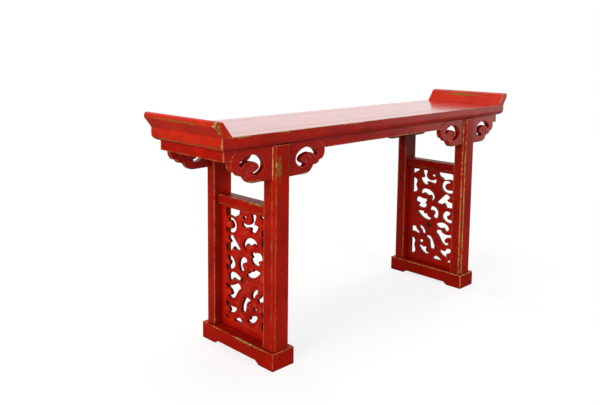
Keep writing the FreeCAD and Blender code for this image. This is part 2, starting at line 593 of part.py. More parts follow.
for item in doc.Objects:
    if "Invalid" in item.State or "Error" in item.State:
        raise SystemExit("%s failed: %s" % (item.Label, item.State))
for item in parts:
    if item.Shape.isNull() or not item.Shape.isValid() or len(item.Shape.Solids) != 1:
        raise SystemExit("%s is not one valid solid" % item.Label)
os.makedirs("parts", exist_ok=True)
for item in parts:
    item.Shape.exportStep("parts/%s.step" % item.Label)
print(len(parts), "sub-parts written")
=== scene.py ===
# %% [markdown]
# # A Chinese altar table in worn red lacquer
# The real object is a long, narrow table: a framed top with upturned ends, an apron with cloud-shaped
# spandrels, and two trestles, each closed by a carved and pierced panel. The measured model is loaded
# first and is never changed. Every piece made here sits exactly where its measured twin sits.

# %% Load the measured model
import math

import bmesh
import bpy
import numpy as np
from mathutils import Matrix, Vector, geometry, kdtree, noise


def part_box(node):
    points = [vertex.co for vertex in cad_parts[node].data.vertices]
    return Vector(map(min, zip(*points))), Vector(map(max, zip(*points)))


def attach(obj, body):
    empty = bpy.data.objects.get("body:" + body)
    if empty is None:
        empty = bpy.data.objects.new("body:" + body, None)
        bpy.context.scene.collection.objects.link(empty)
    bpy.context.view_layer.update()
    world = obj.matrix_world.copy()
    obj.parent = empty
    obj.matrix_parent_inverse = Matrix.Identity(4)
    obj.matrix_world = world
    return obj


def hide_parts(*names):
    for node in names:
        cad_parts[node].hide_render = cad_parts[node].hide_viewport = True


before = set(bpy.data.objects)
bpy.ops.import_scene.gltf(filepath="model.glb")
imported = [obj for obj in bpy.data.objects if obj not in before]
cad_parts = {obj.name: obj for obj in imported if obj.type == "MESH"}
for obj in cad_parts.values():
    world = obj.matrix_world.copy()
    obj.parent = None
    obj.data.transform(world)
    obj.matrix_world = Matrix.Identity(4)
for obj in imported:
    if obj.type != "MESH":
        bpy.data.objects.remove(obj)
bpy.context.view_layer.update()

millimetre = 0.001

# %% [markdown]
# ## The camera
# The photograph was taken from the front left, a little above the top. Its upright legs stay almost
# upright in the picture although the camera looks down on the table, which a lens shifted downwards does.
# A shifted camera repeats that. Its place and turn were matched to the corners of the feet, the legs and
# the top. A larger shift would match the photograph by one more pixel, but it would push the table out of
# the frame in other views.

# %% Place the camera
photo_width, photo_height = 600, 405
camera_place = Vector((-2.242, -1.851, 1.157))
camera_heading = math.radians(42.68)
camera_dip = math.radians(6.63)
camera_roll = math.radians(0.26)
focal_pixels = 686.4
axis_pixel_x, axis_pixel_y = 261.4, 120.0


def put(name, data):
    """A new object that carries some data, linked into the scene."""
    thing = bpy.data.objects.new(name, data)
    bpy.context.collection.objects.link(thing)
    return thing


def camera_axes():
    """The camera's right, up and backward directions."""
    ahead = Vector((math.sin(camera_heading) * math.cos(camera_dip),
                    math.cos(camera_heading) * math.cos(camera_dip), -math.sin(camera_dip)))
    level = Vector((math.cos(camera_heading), -math.sin(camera_heading), 0))
    above = level.cross(ahead)
    right = level * math.cos(camera_roll) + above * math.sin(camera_roll)
    return right, above * math.cos(camera_roll) - level * math.sin(camera_roll), -ahead


camera_data = bpy.data.cameras.new("photo_camera")
camera_data.sensor_width = 36
camera_data.lens = focal_pixels / photo_width * camera_data.sensor_width
camera_data.shift_x = (photo_width / 2 - axis_pixel_x) / photo_width
camera_data.shift_y = (axis_pixel_y - photo_height / 2) / photo_width
camera = put("photo_camera", camera_data)
camera.matrix_world = Matrix.Translation(camera_place) @ Matrix(camera_axes()).transposed().to_4x4()
bpy.context.scene.camera = camera
print("the lens is", round(camera_data.lens, 1), "mm long")

# %% [markdown]
# ## Colours and nodes
# Colours are written as they are seen, as sRGB hex values, and one function turns them into the linear
# numbers that shaders use. Another adds a node to a shader or a geometry tree, with its settings and its
# links in one call, and gives back the output that the next node needs.

# %% Colour and node helpers
def linear(code):
    """A seen colour, such as "#A81808", as linear red, green, blue and a full alpha."""
    parts = [int(code[i:i + 2], 16) / 255 for i in (1, 3, 5)]
    return tuple(c / 12.92 if c <= 0.04045 else ((c + 0.055) / 1.055) ** 2.4 for c in parts) + (1.0,)


def new_material(name):
    """A new material, its node tree and its shader."""
    material = bpy.data.materials.new(name)
    material.use_nodes = True
    return material, material.node_tree, material.node_tree.nodes["Principled BSDF"]


def add(tree, kind, inputs=(), output=0, **settings):
    """Adds a node, sets or links its inputs, and gives back one of its outputs."""
    node = tree.nodes.new(kind)
    for name, value in settings.items():
        setattr(node, name, value)
    for key, value in dict(inputs).items():
        if isinstance(value, bpy.types.NodeSocket):
            tree.links.new(value, node.inputs[key])
        else:
            node.inputs[key].default_value = value
    return node.outputs[output]


print("lacquer red in linear light:", [round(c, 3) for c in linear("#AC1A08")])

# %% [markdown]
# ## Worn red lacquer
# The real finish is red lacquer brushed over a yellow-brown undercoat on softwood. It is mottled and
# faintly streaked along the grain, glossy on the top and duller on the trestles. Every arris is rubbed
# through to the undercoat, with thin pale lines where that has gone too, and old knocks have left dark
# chips. The corners are darkened with painted shade, which also stands for grime gathered there.
#
# The rubbed arrises come from the Bevel node: near an edge its rounded normal leans away from the true
# one. An Ambient Occlusion node tells outer edges from inner corners, which are not rubbed but darkened with
# painted shade.
# Noise breaks the lines up, because real wear comes and goes along an edge.

# %% Brush marks
brush_streak = 5 * millimetre
mottle = 110 * millimetre
rub_length = 38 * millimetre
flake = 5 * millimetre
streak_squeeze, flake_squeeze = 0.07, 0.3


def brush_marks(tree, grain):
    """The patterns of a hand-brushed finish. grain is the axis along which the brush and the timber run."""
    place = add(tree, "ShaderNodeTexCoord", output="Object")
    along, drawn = [
        add(tree, "ShaderNodeMapping", {
            "Vector": place, "Scale": [squeeze if axis == grain else 1 for axis in "XYZ"]})
        for squeeze in (streak_squeeze, flake_squeeze)]
    marks = {"place": place, "drawn": drawn}
    for name, at, width, detail in (("streaks", along, brush_streak, 3.0), ("clouds", place, mottle, 4.0),
                                    ("breaks", place, rub_length, 4.0), ("fine", drawn, flake, 3.0)):
        marks[name] = add(tree, "ShaderNodeTexNoise", {"Vector": at, "Scale": 1 / width, "Detail": detail})
    return marks


print("brush streaks every", round(brush_streak / millimetre), "mm,",
      "clouds every", round(mottle / millimetre), "mm")

# %% Wear that follows the shape
inner_corner, outer_edge = 0.6, 0.9
full_patch = 0.4


def rubbed_arris(tree, marks, open_air, reach, least):
    """How far the finish is rubbed: 0 on the faces, up to about 0.8 on a sharp outer edge."""
    lean = add(tree, "ShaderNodeVectorMath", {0: add(tree, "ShaderNodeNewGeometry", output="Normal"),
                                              1: add(tree, "ShaderNodeBevel", {"Radius": reach}, samples=6)},
               output="Value", operation="DOT_PRODUCT")
    lean = add(tree, "ShaderNodeMath", {0: lean, 1: 1.0}, operation="MINIMUM")
    edge = add(tree, "ShaderNodeMath", {0: lean}, operation="ARCCOSINE")
    coming = add(tree, "ShaderNodeMapRange", {
        "Value": marks["breaks"], "From Min": 0.34, "From Max": 0.68, "To Min": least, "To Max": 1.3})
    flaky = add(tree, "ShaderNodeMapRange", {
        "Value": marks["fine"], "From Min": 0.3, "From Max": 0.7, "To Min": 0.35, "To Max": 1.5})
    outer = add(tree, "ShaderNodeMapRange", {
        "Value": open_air, "From Min": inner_corner, "From Max": outer_edge})
    for share in (coming, flaky, outer):
        edge = add(tree, "ShaderNodeMath", {0: edge, 1: share}, operation="MULTIPLY")
    return edge


def ragged_patch(tree, marks, centre, radii):
    """A ragged patch with its centre and radii in millimetres: full in its middle and 0 outside it."""
    middle = [place * millimetre for place in centre]
    offset = add(tree, "ShaderNodeVectorMath", {0: marks["place"], 1: middle}, operation="SUBTRACT")
    squeeze = [1 / (radius * millimetre) for radius in radii]
    scaled = add(tree, "ShaderNodeVectorMath", {0: offset, 1: squeeze}, operation="MULTIPLY")
    far = add(tree, "ShaderNodeVectorMath", {0: scaled}, output="Value", operation="LENGTH")
    ragged = add(tree, "ShaderNodeMath", {0: marks["fine"], 1: 3.4, 2: -0.7}, operation="MULTIPLY_ADD")
    near = add(tree, "ShaderNodeMath", {0: ragged, 1: far}, operation="SUBTRACT", use_clamp=True)
    return add(tree, "ShaderNodeMath", {0: near, 1: full_patch}, operation="MINIMUM")


print("an edge is rubbed in full where", round(outer_edge * 100), "% of the space round it is open")

# %% [markdown]
# Some marks are single events and not a pattern: a handful of knocks, a rubbed nose where the table is
# lifted, a knot that has bled through. Each is an ellipsoid in the table's own space, made ragged by the
# finest noise.
#
# The colours come in layers, as on the table: red with darker clouds and fine streaks, then the olive-gold
# of the undercoat where the wear is light, bare pale wood where it is heavy, then chips and knots, and last
# painted shade in corners and hollows, which also stands for grime.
# Each pattern's scale is a real size in millimetres.

# %% Chips and opened joints
chip_spacing = 34 * millimetre
joint_at = 134 * millimetre


def distance_from(tree, marks, axis, level):
    """How far a point lies from one level of the table, on either side."""
    along = add(tree, "ShaderNodeSeparateXYZ", {0: marks["place"]}, output=axis)
    if axis == "Y":
        along = add(tree, "ShaderNodeMath", {0: along}, operation="ABSOLUTE")
    away = add(tree, "ShaderNodeMath", {0: along, 1: level}, operation="SUBTRACT")
    return add(tree, "ShaderNodeMath", {0: away}, operation="ABSOLUTE")


def chipped(tree, marks):
    """Small dark chips, about 4 mm across, scattered where the noise allows them."""
    spots = add(tree, "ShaderNodeTexVoronoi", {"Vector": marks["drawn"], "Scale": 1 / chip_spacing},
                output="Distance")
    chips = add(tree, "ShaderNodeMapRange", {"Value": spots, "From Min": 0.13, "From Max": 0.06})
    knocked = add(tree, "ShaderNodeMapRange", {"Value": marks["breaks"], "From Min": 0.55, "From Max": 0.6})
    return add(tree, "ShaderNodeMath", {0: chips, 1: knocked}, operation="MULTIPLY")


def opened_joint(tree, marks):
    """The joints of the top, where the timber has shrunk: a thin line that comes and goes."""
    line = add(tree, "ShaderNodeMapRange", {
        "Value": distance_from(tree, marks, "Y", joint_at), "From Min": 2.6 * millimetre,
        "From Max": 1.0 * millimetre})
    partly = add(tree, "ShaderNodeMapRange", {
        "Value": marks["breaks"], "From Min": 0.4, "From Max": 0.55, "To Min": 0.2, "To Max": 1.0})
    return add(tree, "ShaderNodeMath", {0: line, 1: partly}, operation="MULTIPLY")


print("a chip every", round(chip_spacing / millimetre), "mm or so, and joints", round(joint_at / millimetre),
      "mm from the middle of the top")

# %% Painted shade with grime, and painted highlights on ridges
corner_shade, hollow_shade = 0.85, 0.92


def painted_shade_and_grime(tree, open_air, hollows, joint):
    """Painted shade in the corners and in the hollows of carving, which also stands for grime, and a dark
    opened joint.
    """
    shade_and_grime = add(tree, "ShaderNodeMapRange", {
        "Value": open_air, "From Min": 0.8, "From Max": 0.25, "To Max": corner_shade})
    if hollows:
        depth = add(tree, "ShaderNodeAttribute", output="Fac", attribute_name="carved_depth")
        hollow = add(tree, "ShaderNodeMapRange", {
            "Value": depth, "From Min": hollows[0] * millimetre, "From Max": hollows[1] * millimetre,
            "To Max": hollow_shade})
        shade_and_grime = add(tree, "ShaderNodeMath", {0: shade_and_grime, 1: hollow}, operation="MAXIMUM")
    if joint:
        shade_and_grime = add(tree, "ShaderNodeMath", {0: shade_and_grime, 1: joint}, operation="MAXIMUM")
    return shade_and_grime


def ridges_of_carving(tree, marks, depth):
    """The highest parts of the carving, above one depth, given a lighter red: a painted highlight, which also
    stands for lacquer thinned by hands.
    """
    carved = add(tree, "ShaderNodeAttribute", output="Fac", attribute_name="carved_depth")
    high = add(tree, "ShaderNodeMapRange", {"Value": carved, "From Min": depth, "From Max": depth / 6})
    in_field = add(tree, "ShaderNodeMapRange", {
        "Value": carved, "From Min": 0.01 * millimetre, "From Max": 0.04 * millimetre, "To Max": 0.6})
    uneven = add(tree, "ShaderNodeMapRange", {"Value": marks["fine"], "From Min": 0.3, "From Max": 0.6})
    for share in (in_field, uneven):
        high = add(tree, "ShaderNodeMath", {0: high, 1: share}, operation="MULTIPLY")
    return high


# The dark layer is painted shade in corners and hollows, which also stands for grime.
print("grime covers up to", round(corner_shade * 100), "% of a corner and", round(hollow_shade * 100),
      "% of a hollow")

# %% Mix a lacquer
# The dark colour for grime is painted shade that also stands for grime, and the pale colour for the rubbed
# ridges is a painted highlight that also stands for rubbed lacquer.
under_the_red = {"streak": "#6E0B04", "undercoat": "#7A561E", "bare wood": "#C79C68", "chip": "#3A1408",
                 "knot": "#3E2208", "shade_and_grime": "#3C0402", "ridge highlight and rub": "#C8452E"}
undercoat_from, undercoat_full = 0.2, 0.32
bare_from, bare_full = 0.46, 0.66


def worn_lacquer(name, grain, red, deep, roughness, specular, coat=0.0, reach=6, least=0.35, recess=14,
                 rubs=(), knots=(), hollows=None, highlit_and_rubbed_ridges=None, joints=False, covered_at=None):
    """Red lacquer on softwood, worn at its arrises and where rubs say, with painted shade in its corners and
    hollows and, where asked, a painted highlight on carved ridges. Lengths are in millimetres.
    """
    material, tree, shader = new_material(name)
    marks = brush_marks(tree, grain)
    open_air = add(tree, "ShaderNodeAmbientOcclusion", {"Distance": recess * millimetre}, "AO", samples=6)
    rubbed = rubbed_arris(tree, marks, open_air, reach * millimetre, least)
    if covered_at:
        away = distance_from(tree, marks, "Z", covered_at * millimetre)
        reached = add(tree, "ShaderNodeMapRange", {
            "Value": away, "From Min": 2 * millimetre, "From Max": 7 * millimetre})
        rubbed = add(tree, "ShaderNodeMath", {0: rubbed, 1: reached}, operation="MULTIPLY")
    for rub in rubs:
        rubbed = add(tree, "ShaderNodeMath", {0: rubbed, 1: ragged_patch(tree, marks, *rub)}, operation="ADD")
    undercoat = add(tree, "ShaderNodeMapRange", {
        "Value": rubbed, "From Min": undercoat_from, "From Max": undercoat_full})
    chips = chipped(tree, marks)
    joint = opened_joint(tree, marks) if joints else None
    cloudy = add(tree, "ShaderNodeMapRange", {"Value": marks["clouds"], "From Min": 0.32, "From Max": 0.7})
    colour = add(tree, "ShaderNodeMix", {"Factor": cloudy, 6: linear(red), 7: linear(deep)}, 2,
                 data_type="RGBA")
    streaky = add(tree, "ShaderNodeMapRange", {
        "Value": marks["streaks"], "From Min": 0.5, "From Max": 0.85, "To Max": 0.5})
    bared = add(tree, "ShaderNodeMapRange", {"Value": rubbed, "From Min": bare_from, "From Max": bare_full})
    layers = [("streak", streaky), ("undercoat", undercoat), ("bare wood", bared), ("chip", chips)]
    for knot in knots:
        knotty = add(tree, "ShaderNodeMapRange", {
            "Value": ragged_patch(tree, marks, *knot), "From Min": 0.1, "From Max": 0.3})
        layers.append(("knot", knotty))
    # Painted shade: corners, hollows of carving and the walls of openings turn dark, partly standing for
    # grime.
    layers.append(("shade_and_grime", painted_shade_and_grime(tree, open_air, hollows, joint)))
    # The raised ridges of carving take a lighter red: a painted highlight, which also stands for rubbed
    # lacquer.
    if highlit_and_rubbed_ridges:
        layers.append(("ridge highlight and rub", ridges_of_carving(tree, marks, highlit_and_rubbed_ridges * millimetre)))
    for layer, cover in layers:
        colour = add(tree, "ShaderNodeMix", {"Factor": cover, 6: colour, 7: linear(under_the_red[layer])}, 2,
                     data_type="RGBA")
    tree.links.new(colour, shader.inputs["Base Color"])

    dulling = [(undercoat, 0.25), (marks["fine"], 0.12)]
    if joints:
        dulling += [(joint, 0.6), (marks["streaks"], 0.1)]
    dulled = roughness - 0.05
    for mark, share in dulling:
        dulled = add(tree, "ShaderNodeMath", {0: mark, 1: share, 2: dulled}, operation="MULTIPLY_ADD")
    tree.links.new(dulled, shader.inputs["Roughness"])
    shader.inputs["Specular IOR Level"].default_value = specular
    shader.inputs["Coat Weight"].default_value = coat
    shader.inputs["Coat Roughness"].default_value = roughness * 0.7
    sunk = add(tree, "ShaderNodeMath", {0: chips, 1: -1.0, 2: marks["streaks"]}, operation="MULTIPLY_ADD")
    bumps = add(tree, "ShaderNodeBump", {"Height": sunk, "Distance": 0.25 * millimetre, "Strength": 0.6})
    tree.links.new(bumps, shader.inputs["Normal"])
    return material


print("what can lie over or under the red:", ", ".join(under_the_red))

# %% [markdown]
# ### One finish for each kind of piece
# The same lacquer looks different from piece to piece: polished by hands on the top, satin on the
# trestles, brushed along each board's own length. So it is mixed once for each kind. Each rub and each
# knot is a centre and three radii in millimetres, at the place where the photograph shows one.

# %% Finish the top and its ends
red, deep = "#A61607", "#8A1005"

# The top was rubbed down and polished between coats: a clear, almost mirror-like shine. Its red is painted
# brighter than that of the sides, as painted light from above on the upward faces.
lacquer_top = worn_lacquer("polished_lacquer_on_top", "X", "#BE1A0E", "#A8140A", roughness=0.12, specular=0.8,
                           coat=0.5, reach=4, joints=True)

# The ends were brushed and left as they dried: a brighter, satin red. Hands lift the table by the flanges, so
# their noses and corners are worn most, and the foot of a flange, covered by the top, not at all.
end_rubs = [((-910, -196, 898), (16, 16, 14)), ((910, -196, 898), (16, 16, 14)),
            ((-897, -200, 872), (7, 4, 20)), ((-886, -200, 828), (4, 4, 26)), ((-917, 20, 888), (5, 260, 4)),
            ((-886, 0, 811), (6, 420, 4.5)), ((886, 0, 811), (6, 300, 4.5)), ((872, 20, 888), (9, 110, 8)),
            ((858, -196, 872), (9, 4, 20)), ((-884, 50, 771), (30, 90, 5))]
lacquer_ends = worn_lacquer("satin_lacquer_on_ends", "Y", "#BC260C", "#A41B08", roughness=0.3, specular=0.28,
                            reach=7, recess=24, rubs=end_rubs, covered_at=851)

# The long rails and aprons were brushed along the table, which draws their soft shine out lengthwise. Elbows
# and cloths wear their upper arris.
rail_rubs = [((-800, -200, 846), (45, 6, 5)), ((-600, -200, 848), (30, 6, 5)),
             ((-250, -200, 848), (60, 6, 4)), ((620, -200, 847), (50, 6, 5))]
lacquer_x = worn_lacquer("satin_lacquer_along_table", "X", red, deep, roughness=0.22, specular=0.5,
                         least=0.6, rubs=rail_rubs)
print("the top takes", lacquer_top.name, "and its ends", lacquer_ends.name)

# %% Finish the trestles
# Stretchers, feet and end aprons were brushed across the table and are duller, from shoes and brooms.
bar_rubs = [((-632, -70, 575), (20, 45, 6)), ((-660, -50, 60), (5, 70, 6)), ((554, -60, 64), (4, 200, 4)),
            ((554, -198.5, 36), (5, 5, 40)), ((600, -198.5, 64), (60, 4, 4))]
lacquer_y = worn_lacquer("satin_lacquer_across_table", "Y", red, deep, roughness=0.36, specular=0.1,
                         reach=7, rubs=bar_rubs)

# The legs were brushed upwards, so their streaks stand upright. Their arrises are bare over long stretches,
# and chairs have knocked them.
leg_rubs = [((-624, -189, 723), (14, 20, 46)), ((-569, -186, 690), (5, 6, 50)),
            ((565, -178, 300), (4, 4, 420)), ((576, -189, 360), (4, 4, 500))]
leg_knocks = [((-649, -162, 664), (4, 3.5, 8)), ((-649, -157, 640), (4, 4, 11)),
              ((-649, -155, 556), (4, 3.5, 10)), ((565, -160, 655), (4, 4, 8)), ((565, 160, 470), (4, 4, 16))]
lacquer_z = worn_lacquer("satin_lacquer_on_legs", "Z", red, deep, roughness=0.28, specular=0.2,
                         reach=8, least=0.7, rubs=leg_rubs, knots=leg_knocks)
print("the trestles take", lacquer_y.name, "and", lacquer_z.name)

# %% Finish the carving
# The brackets' grooves and rolled edges are darkened with painted shade from a set depth on, which outlines
# the carving. The lowest lobes are bare, where knees touch them.
# Depths in millimetres over which the carving darkens with painted shade.
bracket_hollows, panel_hollows = (2.4, 7), (3.1, 5.4)
lobes = [(125, 684, 30), (205, 717, 14)]
lobe_rubs = [((leg + side * across, -178, z), (wide, 20, 7))
             for leg in (-607, 607) for side in (-1, 1) for across, z, wide in lobes]
lacquer_brackets = worn_lacquer("satin_lacquer_on_brackets", "X", red, deep, roughness=0.22, specular=0.5,
                                reach=5, least=0.65, recess=22, rubs=lobe_rubs, hollows=bracket_hollows)

# The panels are lacquered like the brackets. Their ridges get a lighter red, a painted highlight that also
# stands for a cloth thinning the red, their hollows get painted shade, and one knot in each board has bled
# through.
knots = [((-611, 12, 266), (20, 14, 15)), ((600, 12, 259), (10, 14, 19))]
lacquer_carved = worn_lacquer("satin_lacquer_on_carving", "Z", "#B41908", "#9A1206", roughness=0.28,
                              specular=0.25, reach=3, recess=26, knots=knots,
                              hollows=panel_hollows, highlit_and_rubbed_ridges=0.9)
print("the carving takes", lacquer_brackets.name, "and", lacquer_carved.name)

# %% Stain the battens
batten_grain = 3 * millimetre


def stained_softwood():
    """Stained softwood, sawn and left bare under the top: fine straight grain and no gloss."""
    material, tree, shader = new_material("stained_softwood")
    place = add(tree, "ShaderNodeTexCoord", output="Object")
    along = add(tree, "ShaderNodeMapping", {"Vector": place, "Scale": (1.0, 0.06, 1.0)})
    grain = add(tree, "ShaderNodeTexNoise", {"Vector": along, "Scale": 1 / batten_grain, "Detail": 4.0})
    dark = add(tree, "ShaderNodeMapRange", {"Value": grain, "From Min": 0.35, "From Max": 0.7})
    colour = add(tree, "ShaderNodeMix", {"Factor": dark, 6: linear("#5B2A17"), 7: linear("#30130A")}, 2,
                 data_type="RGBA")
    tree.links.new(colour, shader.inputs["Base Color"])
    shader.inputs["Roughness"].default_value = 0.7
    tree.links.new(add(tree, "ShaderNodeBump", {"Height": grain, "Distance": 0.3 * millimetre}),
                   shader.inputs["Normal"])
    return material


softwood = stained_softwood()
print("the battens are", softwood.name, "with its grain every", round(batten_grain / millimetre), "mm")

# %% [markdown]
# ## Softened timber
# Worked timber has no knife edges: the plane and years of hands leave each arris a millimetre or two
# round. A piece of the frame could be drawn anew, but its measured twin already has the right form, so
# each is a copy of it with its outer edges bevelled. The copy is welded first, because a measured mesh is
# loose triangles, and its flat faces are joined, so that the bevel runs along clean edges.

# %% Copy and soften the measured pieces
weld_distance = 0.02 * millimetre
flat_within, sharp_from, creased_from = math.radians(0.5), math.radians(28), math.radians(35)
facing_up = 0.8


def welded(node):
    """A measured piece's mesh as an editable copy, its loose triangles joined at their corners."""
    copy = bmesh.new()
    copy.from_mesh(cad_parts[node].data)
    bmesh.ops.remove_doubles(copy, verts=copy.verts, dist=weld_distance)
    return copy


def clean_copy(node):
    """A welded copy of a measured piece, with its flat faces joined too."""
    copy = welded(node)
    bmesh.ops.dissolve_limit(copy, angle_limit=flat_within, verts=copy.verts, edges=copy.edges)
    return copy


def frozen(holder):
    """The plain mesh that an object's modifiers make. The object itself is taken away."""
    result = bpy.data.meshes.new_from_object(holder.evaluated_get(bpy.context.evaluated_depsgraph_get()))
    bpy.data.objects.remove(holder)
    return result


def shaded(mesh, angle=creased_from):
    """Smooth shading with crisp creases, its normals weighted by the faces' size."""
    shape = bmesh.new()
    shape.from_mesh(mesh)
    for face in shape.faces:
        face.smooth = True
    for edge in shape.edges:
        edge.smooth = len(edge.link_faces) == 2 and edge.calc_face_angle() < angle
    shape.to_mesh(mesh)
    shape.free()
    holder = put("holder", mesh)
    holder.modifiers.new("weighted", "WEIGHTED_NORMAL").keep_sharp = True
    return frozen(holder)


def set_piece(name, mesh, material, nodes):
    """Puts a finished mesh on the table in place of its measured twins."""
    piece = put(name, mesh)
    if not mesh.materials:
        mesh.materials.append(material)
    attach(piece, "root")
    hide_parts(*nodes)


def soften(copy, arris, name):
    """Rounds the outer arrises of a copy and gives back its shaded mesh."""
    arrises = [edge for edge in copy.edges if len(edge.link_faces) == 2 and edge.is_convex
               and edge.calc_face_angle() > sharp_from]
    bmesh.ops.bevel(copy, geom=arrises, offset=arris, offset_type="OFFSET", segments=2, profile=0.6,
                    affect="EDGES", clamp_overlap=True)
    mesh = bpy.data.meshes.new(name)
    copy.to_mesh(mesh)
    copy.free()
    return shaded(mesh)


def softened(node, arris, material, polished=None):
    """Sets a softened copy of one measured piece. Its upper faces may have a polished finish of their own,
    painted a brighter red for the light from above.
    """
    mesh = soften(clean_copy(node), arris, node)
    mesh.materials.append(material)
    if polished:
        mesh.materials.append(polished)
        for face in mesh.polygons:
            face.material_index = int(face.normal.z > facing_up)
    set_piece("soft_" + node, mesh, material, [node])


frame_pieces = [
    (0.7, lacquer_x, "red_lacquer_top", lacquer_top,
     ("top_front_rail", "top_rear_rail", "board_front", "board_rear")),
    (1.6, lacquer_ends, "red_lacquer_top", lacquer_top, ("top_left_rail", "top_right_rail")),
    (3.0, lacquer_ends, "red_lacquer_top", None, ("flange_left", "flange_right")),
    (1.8, lacquer_y, "red_lacquer", None,
     ("apron_left", "apron_right", "stretcher_left", "stretcher_right", "foot_left", "foot_right")),
    (1.2, lacquer_z, "red_lacquer", None,
     ("leg_left_front", "leg_left_rear", "leg_right_front", "leg_right_rear"))]
for arris, material, slot, polished, nodes in frame_pieces:
    for node in nodes:
        softened(node, arris * millimetre, material, polished)
    print("arrises of", arris, "mm on", ", ".join(nodes))

# %% [markdown]
# ## Battens under the top
# Plain battens lie across the underside of the boards and keep them flat. They repeat at an even spacing,
# so a small tree of Geometry Nodes lays out one planed stick along a line, between two ends that it takes
# as inputs.

# %% Lay out the battens
def new_tree(name, inputs):
    """An empty geometry tree with named inputs, what it takes and what it gives."""
    tree = bpy.data.node_groups.new(name, "GeometryNodeTree")
    for label, kind in inputs.items():
        tree.interface.new_socket(label, in_out="INPUT", socket_type="NodeSocket" + kind)
    tree.interface.new_socket("Geometry", in_out="OUTPUT", socket_type="NodeSocketGeometry")
    return tree, tree.nodes.new("NodeGroupInput").outputs, tree.nodes.new("NodeGroupOutput").inputs


def grown(name, tree, values, mesh=None):
    """Runs a geometry tree with its input values and gives back one plain mesh."""
    holder = put(name, mesh or bpy.data.meshes.new(name))
    modifier = holder.modifiers.new(name, "NODES")
    modifier.node_group = tree
    sockets = {item.name: item.identifier for item in tree.interface.items_tree if item.in_out == "INPUT"}
    for label, value in values.items():
        modifier[sockets[label]] = value
    return frozen(holder)


batten_count = 6
first_box, last_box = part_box("batten_1"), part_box("batten_6")
batten_tree, taken, given = new_tree("evenly_spaced_battens", {
    "Width": "Float", "Depth": "Float", "Thickness": "Float", "Number": "Int", "First": "Vector",
    "Last": "Vector"})
stick_size = add(batten_tree, "ShaderNodeCombineXYZ", {
    0: taken["Width"], 1: taken["Depth"], 2: taken["Thickness"]})
stick = add(batten_tree, "GeometryNodeMeshCube", {"Size": stick_size})
line = add(batten_tree, "GeometryNodeMeshLine", {
    "Count": taken["Number"], "Start Location": taken["First"], "Offset": taken["Last"]}, mode="END_POINTS")
sticks = add(batten_tree, "GeometryNodeInstanceOnPoints", {"Points": line, "Instance": stick})
sticks = add(batten_tree, "GeometryNodeRealizeInstances", {"Geometry": sticks})
sticks = add(batten_tree, "GeometryNodeSetMaterial", {"Geometry": sticks, "Material": softwood})
batten_tree.links.new(sticks, given["Geometry"])
first, last = ([(low + high) / 2 for low, high in zip(*box)] for box in (first_box, last_box))
width, depth, thickness = (high - low for low, high in zip(*first_box))
battens = grown("battens", batten_tree, {
    "Width": width, "Depth": depth, "Thickness": thickness, "Number": batten_count,
    "First": first, "Last": last})
sharp_battens = bmesh.new()
sharp_battens.from_mesh(battens)
set_piece("battens_under_top", soften(sharp_battens, 1.5 * millimetre, "battens"), softwood,
          [f"batten_{number}" for number in range(1, batten_count + 1)])
print("battens:", len(battens.polygons), "faces before their edges were rounded")

# %% [markdown]
# ## Carved sheets
# The spandrels and the trestle panels are boards pierced with a fretsaw and then carved on one face: the
# edges of each scroll are rounded over, and small round curls stand up at the ends of the tendrils. Such a
# relief is a height above the board, so it is made as one: the outline comes from the measured piece's own
# face, the area inside is filled with fine triangles, and each point is pushed in by a rule that depends
# on its distance from the nearest edge. A cut outline keeps its place, apart from its sawn tips, which a
# file rounds a little. How deep each point was carved is kept with the mesh, so that painted shade, which
# also stands for grime, can follow it. The walls of the openings are given a set depth of their own, so
# that they take the painted shade of an opening's inside.

# %% Read an outline and file its tips round
same_place = 0.01 * millimetre
shortest_edge = 1e-6
most_of_edge = 0.3


def face_outline(node, axis, level):
    """The edges round a measured piece's flat face at one level, as pairs of flat points."""
    copy = welded(node)
    flat = [i for i in range(3) if i != axis]
    found = []
    for edge in copy.edges:
        on_face = all(abs(vertex.co[axis] - level) < same_place for vertex in edge.verts)
        if on_face and len(edge.link_faces) == 2:
            facing = [abs(face.normal[axis]) > 0.9 for face in edge.link_faces]
            if facing[0] != facing[1]:
                found.append([[vertex.co[i] for i in flat] for vertex in edge.verts])
    copy.free()
    return np.array(found)


def rounded(outline, cut, least_turn=math.radians(20)):
    """An outline with its sharp corners cut off, each by at most one length, as a file rounds a sawn tip."""
    corners = {}
    for number, pair in enumerate(outline):
        for end in (0, 1):
            corners.setdefault(tuple(np.round(pair[end] / millimetre, 2)), []).append((number, end))
    result, bridges = outline.copy(), []
    for ends in corners.values():
        if len(ends) != 2:
            continue
        tip = outline[ends[0]]
        arms = [outline[number, 1 - end] - tip for number, end in ends]
        lengths = [max(np.linalg.norm(arm), shortest_edge) for arm in arms]
        straight = -np.dot(*arms) / (lengths[0] * lengths[1])
        if straight < math.cos(least_turn):
            cuts = [tip + arm * min(most_of_edge, cut / length) for arm, length in zip(arms, lengths)]
            for (number, end), place in zip(ends, cuts):
                result[number, end] = place
            bridges.append(cuts)
    return np.concatenate([result, np.array(bridges)]) if bridges else result


panel_low, panel_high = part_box("panel_left")
panel_outline = face_outline("panel_left", 0, panel_low[0])
coarse_cut, fine_cut = 4 * millimetre, 1.6 * millimetre
for cut in (coarse_cut, fine_cut):
    panel_outline = rounded(panel_outline, cut)
print("the panel's outline and its openings have", len(panel_outline), "edges")

# %% Fill an outline with fine triangles
batch = 4000
edge_step = 0.6 * millimetre


def is_inside(points, outline):
    """Which points lie inside an outline: a line drawn from each crosses it an odd number of times."""
    start, end = outline[:, 0], outline[:, 1]
    inside = np.zeros(len(points), bool)
    for first in range(0, len(points), batch):
        x, y = points[first:first + batch, 0, None], points[first:first + batch, 1, None]
        spans = (start[:, 1] > y) != (end[:, 1] > y)
        rise = np.where(end[:, 1] == start[:, 1], 1.0, end[:, 1] - start[:, 1])
        crossing = start[:, 0] + (y - start[:, 1]) * (end[:, 0] - start[:, 0]) / rise
        inside[first:first + batch] = (spans & (x < crossing)).sum(axis=1) % 2 == 1
    return inside


